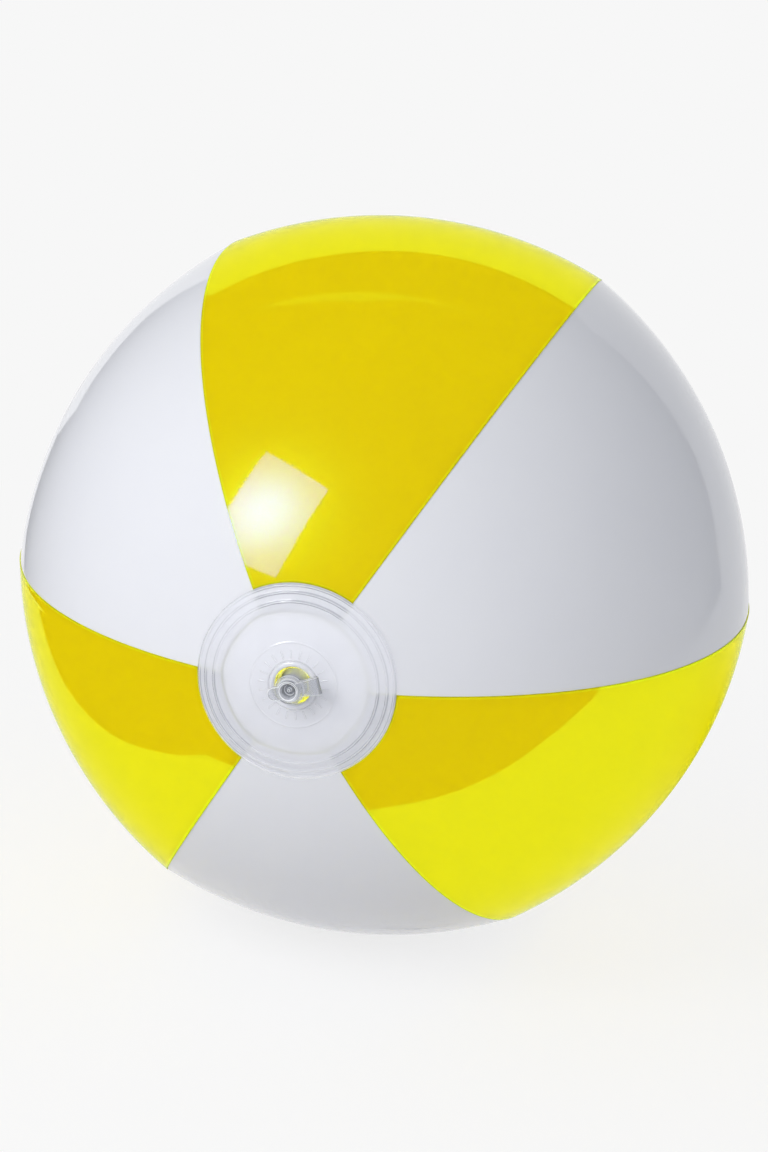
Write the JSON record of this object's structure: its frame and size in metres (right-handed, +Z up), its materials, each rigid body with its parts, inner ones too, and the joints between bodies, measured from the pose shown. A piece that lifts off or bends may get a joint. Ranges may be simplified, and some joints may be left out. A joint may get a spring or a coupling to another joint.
{
  "type": "beach ball",
  "caption": "Inflated beach ball of alternating yellow and white film panels, with round end patches and a push-in valve with a hinged stopper.",
  "frame": {"origin": "the point where the ball touches the floor, straight under its centre", "axes": "+Z up, the valve faces -Y, and the ball's end-to-end axis is along Y"},
  "size_m": [0.285, 0.3012, 0.2797],
  "materials": {
    "yellow_film": "glossy translucent soft PVC film",
    "white_film": "glossy opaque soft PVC film",
    "clear_film": "glossy clear soft PVC film",
    "clear_moulding": "glossy clear soft PVC moulding"
  },
  "bodies": {
    "ball": {"panel_yellow_top": "yellow_film", "panel_white_left": "white_film", "panel_yellow_left": "yellow_film", "panel_white_bottom": "white_film", "panel_yellow_right": "yellow_film", "panel_white_right": "white_film", "valve_end_patch": "clear_film", "valve_end_backing": "white_film", "far_end_patch": "clear_film", "far_end_backing": "white_film", "valve_flange": "clear_moulding", "valve_boot": "clear_moulding"},
    "stem": {"valve_stem": "clear_moulding", "stopper_strap": "clear_moulding"},
    "stopper": {"stopper": "clear_moulding"},
    "flap": {"check_flap": "clear_moulding"}
  },
  "joints": [
    {"name": "stem_push", "type": "slide", "parent": "ball", "child": "stem", "axis": [0, 1, 0], "range_m": [-0.005, 0.0034], "deforming": ["valve_boot"]},
    {"name": "stopper_swing", "type": "hinge", "parent": "stem", "child": "stopper", "pos_m": [0.0097, -0.15248, 0.14287], "axis": [-0.309, 0, 0.9511], "range_deg": [0, 135], "deforming": ["stopper_strap"]},
    {"name": "flap_swing", "type": "hinge", "parent": "stem", "child": "flap", "pos_m": [-0.00418, -0.14063, 0.13836], "axis": [-0.309, 0, 0.9511], "range_deg": [0, 60]}
  ]
}
